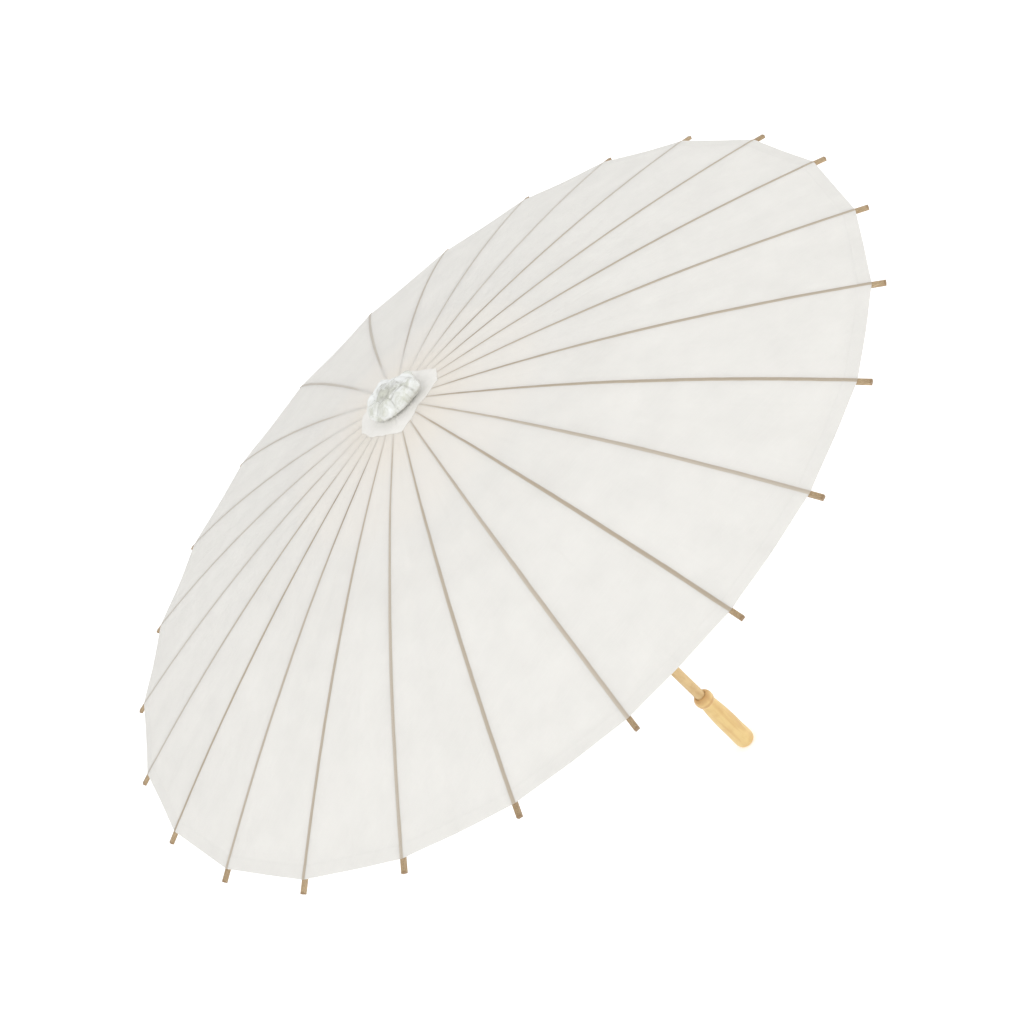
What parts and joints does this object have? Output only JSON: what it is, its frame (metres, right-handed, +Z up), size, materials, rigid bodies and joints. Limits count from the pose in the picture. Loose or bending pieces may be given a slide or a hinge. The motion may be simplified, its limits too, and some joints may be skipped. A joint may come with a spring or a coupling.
{
  "type": "oil paper umbrella",
  "caption": "Folding paper parasol: a shallow pleated paper canopy on slotted bamboo ribs and stretchers, with a sliding runner, wooden shaft and turned handle.",
  "frame": {"origin": "middle of the handle's flat end", "axes": "+Z runs up the shaft to the cap; +X points along rib_01, on the side that the spring catch comes out of"},
  "size_m": [0.8098, 0.8098, 0.551],
  "materials": {
    "canopy_paper": "matt, slightly translucent fibrous paper",
    "cap_paper": "crumpled paper wrap with a soft shine",
    "rib_bamboo": "split bamboo, satin skin",
    "stretcher_bamboo": "split bamboo, satin skin",
    "hub_wood": "turned wood, matt",
    "shaft_wood": "straight-grained wood, matt",
    "handle_wood": "turned wood, satin lacquer",
    "thread": "twisted cotton thread",
    "spring_steel": "brushed spring steel"
  },
  "bodies": {
    "root": {"handle": "handle_wood", "shaft": "shaft_wood", "stop_peg": "hub_wood", "catch_pin": "spring_steel", "top_notch": "hub_wood", "notch_thread": "thread", "canopy": "canopy_paper", "cap_cover": "cap_paper", "cap_tie": "thread"},
    "runner": {"runner": "hub_wood", "runner_thread": "thread"},
    "catch": {"catch_spring": "spring_steel"},
    "rib_01": {"rib_01": "rib_bamboo"},
    "stretcher_01": {"stretcher_01": "stretcher_bamboo"},
    "rib_02": {"rib_02": "rib_bamboo"},
    "stretcher_02": {"stretcher_02": "stretcher_bamboo"},
    "rib_03": {"rib_03": "rib_bamboo"},
    "stretcher_03": {"stretcher_03": "stretcher_bamboo"},
    "rib_04": {"rib_04": "rib_bamboo"},
    "stretcher_04": {"stretcher_04": "stretcher_bamboo"},
    "rib_05": {"rib_05": "rib_bamboo"},
    "stretcher_05": {"stretcher_05": "stretcher_bamboo"},
    "rib_06": {"rib_06": "rib_bamboo"},
    "stretcher_06": {"stretcher_06": "stretcher_bamboo"},
    "rib_07": {"rib_07": "rib_bamboo"},
    "stretcher_07": {"stretcher_07": "stretcher_bamboo"},
    "rib_08": {"rib_08": "rib_bamboo"},
    "stretcher_08": {"stretcher_08": "stretcher_bamboo"},
    "rib_09": {"rib_09": "rib_bamboo"},
    "stretcher_09": {"stretcher_09": "stretcher_bamboo"},
    "rib_10": {"rib_10": "rib_bamboo"},
    "stretcher_10": {"stretcher_10": "stretcher_bamboo"},
    "rib_11": {"rib_11": "rib_bamboo"},
    "stretcher_11": {"stretcher_11": "stretcher_bamboo"},
    "rib_12": {"rib_12": "rib_bamboo"},
    "stretcher_12": {"stretcher_12": "stretcher_bamboo"},
    "rib_13": {"rib_13": "rib_bamboo"},
    "stretcher_13": {"stretcher_13": "stretcher_bamboo"},
    "rib_14": {"rib_14": "rib_bamboo"},
    "stretcher_14": {"stretcher_14": "stretcher_bamboo"},
    "rib_15": {"rib_15": "rib_bamboo"},
    "stretcher_15": {"stretcher_15": "stretcher_bamboo"},
    "rib_16": {"rib_16": "rib_bamboo"},
    "stretcher_16": {"stretcher_16": "stretcher_bamboo"},
    "rib_17": {"rib_17": "rib_bamboo"},
    "stretcher_17": {"stretcher_17": "stretcher_bamboo"},
    "rib_18": {"rib_18": "rib_bamboo"},
    "stretcher_18": {"stretcher_18": "stretcher_bamboo"},
    "rib_19": {"rib_19": "rib_bamboo"},
    "stretcher_19": {"stretcher_19": "stretcher_bamboo"},
    "rib_20": {"rib_20": "rib_bamboo"},
    "stretcher_20": {"stretcher_20": "stretcher_bamboo"},
    "rib_21": {"rib_21": "rib_bamboo"},
    "stretcher_21": {"stretcher_21": "stretcher_bamboo"},
    "rib_22": {"rib_22": "rib_bamboo"},
    "stretcher_22": {"stretcher_22": "stretcher_bamboo"},
    "rib_23": {"rib_23": "rib_bamboo"},
    "stretcher_23": {"stretcher_23": "stretcher_bamboo"},
    "rib_24": {"rib_24": "rib_bamboo"},
    "stretcher_24": {"stretcher_24": "stretcher_bamboo"}
  },
  "joints": [
    {"name": "fold", "type": "hinge", "parent": "root", "child": "rib_01", "pos_m": [0.013, 0, 0.53334], "axis": [0, 1, 0], "range_deg": [0, 73.5], "deforming": ["canopy", "catch_spring"]},
    {"name": "stretcher_01_fold", "type": "hinge", "parent": "rib_01", "child": "stretcher_01", "pos_m": [0.2027, 0, 0.48958], "axis": [0, 1, 0], "range_deg": [-147, 0]},
    {"name": "rib_02_fold", "type": "hinge", "parent": "root", "child": "rib_02", "pos_m": [0.01256, 0.00336, 0.53334], "axis": [-0.2588, 0.9659, 0], "range_deg": [0, 73.5]},
    {"name": "stretcher_02_fold", "type": "hinge", "parent": "rib_02", "child": "stretcher_02", "pos_m": [0.1958, 0.05246, 0.48958], "axis": [-0.2588, 0.9659, 0], "range_deg": [-147, 0]},
    {"name": "rib_03_fold", "type": "hinge", "parent": "root", "child": "rib_03", "pos_m": [0.01126, 0.0065, 0.53334], "axis": [-0.5, 0.866, 0], "range_deg": [0, 73.5]},
    {"name": "stretcher_03_fold", "type": "hinge", "parent": "rib_03", "child": "stretcher_03", "pos_m": [0.17555, 0.10135, 0.48958], "axis": [-0.5, 0.866, 0], "range_deg": [-147, 0]},
    {"name": "rib_04_fold", "type": "hinge", "parent": "root", "child": "rib_04", "pos_m": [0.00919, 0.00919, 0.53334], "axis": [-0.7071, 0.7071, 0], "range_deg": [0, 73.5]},
    {"name": "stretcher_04_fold", "type": "hinge", "parent": "rib_04", "child": "stretcher_04", "pos_m": [0.14333, 0.14333, 0.48958], "axis": [-0.7071, 0.7071, 0], "range_deg": [-147, 0]},
    {"name": "rib_05_fold", "type": "hinge", "parent": "root", "child": "rib_05", "pos_m": [0.0065, 0.01126, 0.53334], "axis": [-0.866, 0.5, 0], "range_deg": [0, 73.5]},
    {"name": "stretcher_05_fold", "type": "hinge", "parent": "rib_05", "child": "stretcher_05", "pos_m": [0.10135, 0.17555, 0.48958], "axis": [-0.866, 0.5, 0], "range_deg": [-147, 0]},
    {"name": "rib_06_fold", "type": "hinge", "parent": "root", "child": "rib_06", "pos_m": [0.00336, 0.01256, 0.53334], "axis": [-0.9659, 0.2588, 0], "range_deg": [0, 73.5]},
    {"name": "stretcher_06_fold", "type": "hinge", "parent": "rib_06", "child": "stretcher_06", "pos_m": [0.05246, 0.1958, 0.48958], "axis": [-0.9659, 0.2588, 0], "range_deg": [-147, 0]},
    {"name": "rib_07_fold", "type": "hinge", "parent": "root", "child": "rib_07", "pos_m": [0, 0.013, 0.53334], "axis": [-1, 0, 0], "range_deg": [0, 73.5]},
    {"name": "stretcher_07_fold", "type": "hinge", "parent": "rib_07", "child": "stretcher_07", "pos_m": [0, 0.2027, 0.48958], "axis": [-1, 0, 0], "range_deg": [-147, 0]},
    {"name": "rib_08_fold", "type": "hinge", "parent": "root", "child": "rib_08", "pos_m": [-0.00336, 0.01256, 0.53334], "axis": [-0.9659, -0.2588, 0], "range_deg": [0, 73.5]},
    {"name": "stretcher_08_fold", "type": "hinge", "parent": "rib_08", "child": "stretcher_08", "pos_m": [-0.05246, 0.1958, 0.48958], "axis": [-0.9659, -0.2588, 0], "range_deg": [-147, 0]},
    {"name": "rib_09_fold", "type": "hinge", "parent": "root", "child": "rib_09", "pos_m": [-0.0065, 0.01126, 0.53334], "axis": [-0.866, -0.5, 0], "range_deg": [0, 73.5]},
    {"name": "stretcher_09_fold", "type": "hinge", "parent": "rib_09", "child": "stretcher_09", "pos_m": [-0.10135, 0.17555, 0.48958], "axis": [-0.866, -0.5, 0], "range_deg": [-147, 0]},
    {"name": "rib_10_fold", "type": "hinge", "parent": "root", "child": "rib_10", "pos_m": [-0.00919, 0.00919, 0.53334], "axis": [-0.7071, -0.7071, 0], "range_deg": [0, 73.5]},
    {"name": "stretcher_10_fold", "type": "hinge", "parent": "rib_10", "child": "stretcher_10", "pos_m": [-0.14333, 0.14333, 0.48958], "axis": [-0.7071, -0.7071, 0], "range_deg": [-147, 0]},
    {"name": "rib_11_fold", "type": "hinge", "parent": "root", "child": "rib_11", "pos_m": [-0.01126, 0.0065, 0.53334], "axis": [-0.5, -0.866, 0], "range_deg": [0, 73.5]},
    {"name": "stretcher_11_fold", "type": "hinge", "parent": "rib_11", "child": "stretcher_11", "pos_m": [-0.17555, 0.10135, 0.48958], "axis": [-0.5, -0.866, 0], "range_deg": [-147, 0]},
    {"name": "rib_12_fold", "type": "hinge", "parent": "root", "child": "rib_12", "pos_m": [-0.01256, 0.00336, 0.53334], "axis": [-0.2588, -0.9659, 0], "range_deg": [0, 73.5]},
    {"name": "stretcher_12_fold", "type": "hinge", "parent": "rib_12", "child": "stretcher_12", "pos_m": [-0.1958, 0.05246, 0.48958], "axis": [-0.2588, -0.9659, 0], "range_deg": [-147, 0]},
    {"name": "rib_13_fold", "type": "hinge", "parent": "root", "child": "rib_13", "pos_m": [-0.013, 0, 0.53334], "axis": [0, -1, 0], "range_deg": [0, 73.5]},
    {"name": "stretcher_13_fold", "type": "hinge", "parent": "rib_13", "child": "stretcher_13", "pos_m": [-0.2027, 0, 0.48958], "axis": [0, -1, 0], "range_deg": [-147, 0]},
    {"name": "rib_14_fold", "type": "hinge", "parent": "root", "child": "rib_14", "pos_m": [-0.01256, -0.00336, 0.53334], "axis": [0.2588, -0.9659, 0], "range_deg": [0, 73.5]},
    {"name": "stretcher_14_fold", "type": "hinge", "parent": "rib_14", "child": "stretcher_14", "pos_m": [-0.1958, -0.05246, 0.48958], "axis": [0.2588, -0.9659, 0], "range_deg": [-147, 0]},
    {"name": "rib_15_fold", "type": "hinge", "parent": "root", "child": "rib_15", "pos_m": [-0.01126, -0.0065, 0.53334], "axis": [0.5, -0.866, 0], "range_deg": [0, 73.5]},
    {"name": "stretcher_15_fold", "type": "hinge", "parent": "rib_15", "child": "stretcher_15", "pos_m": [-0.17555, -0.10135, 0.48958], "axis": [0.5, -0.866, 0], "range_deg": [-147, 0]},
    {"name": "rib_16_fold", "type": "hinge", "parent": "root", "child": "rib_16", "pos_m": [-0.00919, -0.00919, 0.53334], "axis": [0.7071, -0.7071, 0], "range_deg": [0, 73.5]},
    {"name": "stretcher_16_fold", "type": "hinge", "parent": "rib_16", "child": "stretcher_16", "pos_m": [-0.14333, -0.14333, 0.48958], "axis": [0.7071, -0.7071, 0], "range_deg": [-147, 0]},
    {"name": "rib_17_fold", "type": "hinge", "parent": "root", "child": "rib_17", "pos_m": [-0.0065, -0.01126, 0.53334], "axis": [0.866, -0.5, 0], "range_deg": [0, 73.5]},
    {"name": "stretcher_17_fold", "type": "hinge", "parent": "rib_17", "child": "stretcher_17", "pos_m": [-0.10135, -0.17555, 0.48958], "axis": [0.866, -0.5, 0], "range_deg": [-147, 0]},
    {"name": "rib_18_fold", "type": "hinge", "parent": "root", "child": "rib_18", "pos_m": [-0.00336, -0.01256, 0.53334], "axis": [0.9659, -0.2588, 0], "range_deg": [0, 73.5]},
    {"name": "stretcher_18_fold", "type": "hinge", "parent": "rib_18", "child": "stretcher_18", "pos_m": [-0.05246, -0.1958, 0.48958], "axis": [0.9659, -0.2588, 0], "range_deg": [-147, 0]},
    {"name": "rib_19_fold", "type": "hinge", "parent": "root", "child": "rib_19", "pos_m": [0, -0.013, 0.53334], "axis": [1, 0, 0], "range_deg": [0, 73.5]},
    {"name": "stretcher_19_fold", "type": "hinge", "parent": "rib_19", "child": "stretcher_19", "pos_m": [0, -0.2027, 0.48958], "axis": [1, 0, 0], "range_deg": [-147, 0]},
    {"name": "rib_20_fold", "type": "hinge", "parent": "root", "child": "rib_20", "pos_m": [0.00336, -0.01256, 0.53334], "axis": [0.9659, 0.2588, 0], "range_deg": [0, 73.5]},
    {"name": "stretcher_20_fold", "type": "hinge", "parent": "rib_20", "child": "stretcher_20", "pos_m": [0.05246, -0.1958, 0.48958], "axis": [0.9659, 0.2588, 0], "range_deg": [-147, 0]},
    {"name": "rib_21_fold", "type": "hinge", "parent": "root", "child": "rib_21", "pos_m": [0.0065, -0.01126, 0.53334], "axis": [0.866, 0.5, 0], "range_deg": [0, 73.5]},
    {"name": "stretcher_21_fold", "type": "hinge", "parent": "rib_21", "child": "stretcher_21", "pos_m": [0.10135, -0.17555, 0.48958], "axis": [0.866, 0.5, 0], "range_deg": [-147, 0]},
    {"name": "rib_22_fold", "type": "hinge", "parent": "root", "child": "rib_22", "pos_m": [0.00919, -0.00919, 0.53334], "axis": [0.7071, 0.7071, 0], "range_deg": [0, 73.5]},
    {"name": "stretcher_22_fold", "type": "hinge", "parent": "rib_22", "child": "stretcher_22", "pos_m": [0.14333, -0.14333, 0.48958], "axis": [0.7071, 0.7071, 0], "range_deg": [-147, 0]},
    {"name": "rib_23_fold", "type": "hinge", "parent": "root", "child": "rib_23", "pos_m": [0.01126, -0.0065, 0.53334], "axis": [0.5, 0.866, 0], "range_deg": [0, 73.5]},
    {"name": "stretcher_23_fold", "type": "hinge", "parent": "rib_23", "child": "stretcher_23", "pos_m": [0.17555, -0.10135, 0.48958], "axis": [0.5, 0.866, 0], "range_deg": [-147, 0]},
    {"name": "rib_24_fold", "type": "hinge", "parent": "root", "child": "rib_24", "pos_m": [0.01256, -0.00336, 0.53334], "axis": [0.2588, 0.9659, 0], "range_deg": [0, 73.5]},
    {"name": "stretcher_24_fold", "type": "hinge", "parent": "rib_24", "child": "stretcher_24", "pos_m": [0.1958, -0.05246, 0.48958], "axis": [0.2588, 0.9659, 0], "range_deg": [-147, 0]},
    {"name": "runner_level", "type": "hinge", "parent": "stretcher_01", "child": "runner", "pos_m": [0.013, 0, 0.44582], "axis": [0, 1, 0], "range_deg": [0, 73.5]},
    {"name": "catch_press", "type": "hinge", "parent": "root", "child": "catch", "pos_m": [0.0022, 0, 0.37822], "axis": [0, -1, 0], "range_deg": [0, 6.2], "stiffness_Nm_per_rad": 0.05}
  ],
  "couplings": [
    {"joint": "stretcher_01_fold", "follows": "fold", "ratio": -2},
    {"joint": "rib_02_fold", "follows": "fold", "ratio": 1},
    {"joint": "stretcher_02_fold", "follows": "fold", "ratio": -2},
    {"joint": "rib_03_fold", "follows": "fold", "ratio": 1},
    {"joint": "stretcher_03_fold", "follows": "fold", "ratio": -2},
    {"joint": "rib_04_fold", "follows": "fold", "ratio": 1},
    {"joint": "stretcher_04_fold", "follows": "fold", "ratio": -2},
    {"joint": "rib_05_fold", "follows": "fold", "ratio": 1},
    {"joint": "stretcher_05_fold", "follows": "fold", "ratio": -2},
    {"joint": "rib_06_fold", "follows": "fold", "ratio": 1},
    {"joint": "stretcher_06_fold", "follows": "fold", "ratio": -2},
    {"joint": "rib_07_fold", "follows": "fold", "ratio": 1},
    {"joint": "stretcher_07_fold", "follows": "fold", "ratio": -2},
    {"joint": "rib_08_fold", "follows": "fold", "ratio": 1},
    {"joint": "stretcher_08_fold", "follows": "fold", "ratio": -2},
    {"joint": "rib_09_fold", "follows": "fold", "ratio": 1},
    {"joint": "stretcher_09_fold", "follows": "fold", "ratio": -2},
    {"joint": "rib_10_fold", "follows": "fold", "ratio": 1},
    {"joint": "stretcher_10_fold", "follows": "fold", "ratio": -2},
    {"joint": "rib_11_fold", "follows": "fold", "ratio": 1},
    {"joint": "stretcher_11_fold", "follows": "fold", "ratio": -2},
    {"joint": "rib_12_fold", "follows": "fold", "ratio": 1},
    {"joint": "stretcher_12_fold", "follows": "fold", "ratio": -2},
    {"joint": "rib_13_fold", "follows": "fold", "ratio": 1},
    {"joint": "stretcher_13_fold", "follows": "fold", "ratio": -2},
    {"joint": "rib_14_fold", "follows": "fold", "ratio": 1},
    {"joint": "stretcher_14_fold", "follows": "fold", "ratio": -2},
    {"joint": "rib_15_fold", "follows": "fold", "ratio": 1},
    {"joint": "stretcher_15_fold", "follows": "fold", "ratio": -2},
    {"joint": "rib_16_fold", "follows": "fold", "ratio": 1},
    {"joint": "stretcher_16_fold", "follows": "fold", "ratio": -2},
    {"joint": "rib_17_fold", "follows": "fold", "ratio": 1},
    {"joint": "stretcher_17_fold", "follows": "fold", "ratio": -2},
    {"joint": "rib_18_fold", "follows": "fold", "ratio": 1},
    {"joint": "stretcher_18_fold", "follows": "fold", "ratio": -2},
    {"joint": "rib_19_fold", "follows": "fold", "ratio": 1},
    {"joint": "stretcher_19_fold", "follows": "fold", "ratio": -2},
    {"joint": "rib_20_fold", "follows": "fold", "ratio": 1},
    {"joint": "stretcher_20_fold", "follows": "fold", "ratio": -2},
    {"joint": "rib_21_fold", "follows": "fold", "ratio": 1},
    {"joint": "stretcher_21_fold", "follows": "fold", "ratio": -2},
    {"joint": "rib_22_fold", "follows": "fold", "ratio": 1},
    {"joint": "stretcher_22_fold", "follows": "fold", "ratio": -2},
    {"joint": "rib_23_fold", "follows": "fold", "ratio": 1},
    {"joint": "stretcher_23_fold", "follows": "fold", "ratio": -2},
    {"joint": "rib_24_fold", "follows": "fold", "ratio": 1},
    {"joint": "stretcher_24_fold", "follows": "fold", "ratio": -2},
    {"joint": "runner_level", "follows": "fold", "ratio": 1}
  ]
}
